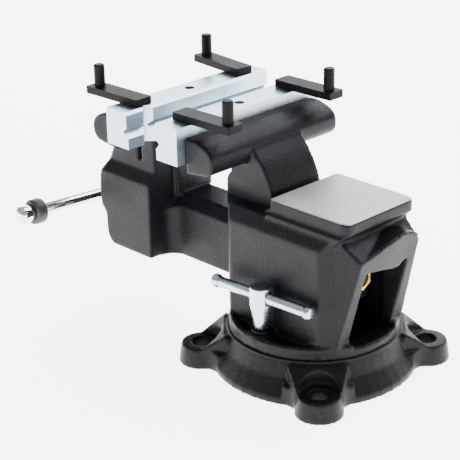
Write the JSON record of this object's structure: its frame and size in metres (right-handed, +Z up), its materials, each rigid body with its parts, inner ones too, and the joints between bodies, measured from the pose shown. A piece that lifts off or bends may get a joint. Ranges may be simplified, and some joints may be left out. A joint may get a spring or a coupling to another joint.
{
  "type": "bench vise with anvil on a swivel base",
  "caption": "Cast swivel-base bench vise with an anvil, multi-purpose grooved jaw bars and swing arms with upright pins.",
  "frame": {"origin": "on the swivel axis, on the bench plane under the base", "axes": "+Z up, +Y along the screw from the handle towards the anvil, +X to the right of a user standing at the handle"},
  "size_m": [0.1838, 0.2635, 0.1786],
  "materials": {
    "black_coat": "fine pebbled black powder coat on grey iron castings",
    "zinc_plate": "bright zinc plate over milled steel",
    "black_oxide": "satin black oxide",
    "chrome_plate": "polished chrome plate",
    "black_rubber": "moulded black rubber",
    "plain_steel": "oiled turned or milled steel",
    "brass": "turned brass"
  },
  "bodies": {
    "base": {"swivel_base": "black_coat"},
    "body": {"vise_body": "black_coat", "static_jaw_bar": "zinc_plate", "static_bar_bolt": "plain_steel", "right_static_arm_pivot": "plain_steel", "left_static_arm_pivot": "plain_steel", "main_nut": "plain_steel", "nut_bolt": "plain_steel", "right_lock_washer": "black_oxide", "left_lock_washer": "black_oxide", "right_lock_t_nut": "plain_steel", "left_lock_t_nut": "plain_steel"},
    "moving": {"moving_jaw": "black_coat", "moving_jaw_bar": "zinc_plate", "moving_bar_bolt": "plain_steel", "right_moving_arm_pivot": "plain_steel", "left_moving_arm_pivot": "plain_steel", "screw_front_washer": "zinc_plate", "screw_inner_washer": "zinc_plate"},
    "screw": {"main_screw": "plain_steel", "screw_split_pin": "plain_steel", "screw_end_washer": "zinc_plate", "screw_end_nut": "brass"},
    "handle": {"handle_bar": "chrome_plate", "right_handle_collar": "black_rubber", "left_handle_collar": "black_rubber", "right_handle_knob": "chrome_plate", "left_handle_knob": "chrome_plate"},
    "right_moving_arm": {"right_moving_arm": "black_oxide", "right_moving_arm_pin": "black_oxide"},
    "right_static_arm": {"right_static_arm": "black_oxide", "right_static_arm_pin": "black_oxide"},
    "right_lock": {"right_lock_screw": "zinc_plate"},
    "right_lock_bar": {"right_lock_bar": "zinc_plate"},
    "left_moving_arm": {"left_moving_arm": "black_oxide", "left_moving_arm_pin": "black_oxide"},
    "left_static_arm": {"left_static_arm": "black_oxide", "left_static_arm_pin": "black_oxide"},
    "left_lock": {"left_lock_screw": "zinc_plate"},
    "left_lock_bar": {"left_lock_bar": "zinc_plate"}
  },
  "joints": [
    {"name": "swivel", "type": "hinge", "parent": "base", "child": "body", "pos_m": [0, 0, 0.026], "axis": [0, 0, 1], "continuous": true},
    {"name": "jaw_slide", "type": "slide", "parent": "body", "child": "moving", "axis": [0, -1, 0], "range_m": [-0.0258, 0.055]},
    {"name": "screw_turn", "type": "hinge", "parent": "moving", "child": "screw", "pos_m": [0, -0.185, 0.0685], "axis": [0, -1, 0], "range_deg": [-1872, 3972]},
    {"name": "handle_slide", "type": "slide", "parent": "screw", "child": "handle", "axis": [0.9983, 0, 0.0576], "range_m": [-0.056, 0.056]},
    {"name": "right_moving_arm_swing", "type": "hinge", "parent": "moving", "child": "right_moving_arm", "pos_m": [0.0455, -0.1115, 0.1593], "axis": [0, 0, 1], "range_deg": [-110, 110]},
    {"name": "right_static_arm_swing", "type": "hinge", "parent": "body", "child": "right_static_arm", "pos_m": [0.0455, -0.065, 0.1593], "axis": [0, 0, 1], "range_deg": [-110, 110]},
    {"name": "right_lock_turn", "type": "hinge", "parent": "body", "child": "right_lock", "pos_m": [0.04596, -0.002, 0.05], "axis": [0, 0, 1], "range_deg": [-9, 1]},
    {"name": "right_lock_bar_slide", "type": "slide", "parent": "right_lock", "child": "right_lock_bar", "axis": [-0.0698, 0.9976, 0], "range_m": [-0.024, 0.024]},
    {"name": "left_moving_arm_swing", "type": "hinge", "parent": "moving", "child": "left_moving_arm", "pos_m": [-0.0455, -0.1115, 0.1593], "axis": [0, 0, 1], "range_deg": [-110, 110]},
    {"name": "left_static_arm_swing", "type": "hinge", "parent": "body", "child": "left_static_arm", "pos_m": [-0.0455, -0.065, 0.1593], "axis": [0, 0, 1], "range_deg": [-110, 110]},
    {"name": "left_lock_turn", "type": "hinge", "parent": "body", "child": "left_lock", "pos_m": [-0.04596, -0.002, 0.05], "axis": [0, 0, 1], "range_deg": [-9, 1]},
    {"name": "left_lock_bar_slide", "type": "slide", "parent": "left_lock", "child": "left_lock_bar", "axis": [-0.0698, 0.9976, 0], "range_m": [-0.024, 0.024]}
  ],
  "couplings": [
    {"joint": "screw_turn", "follows": "jaw_slide", "rad_per_m": 1256.6}
  ]
}
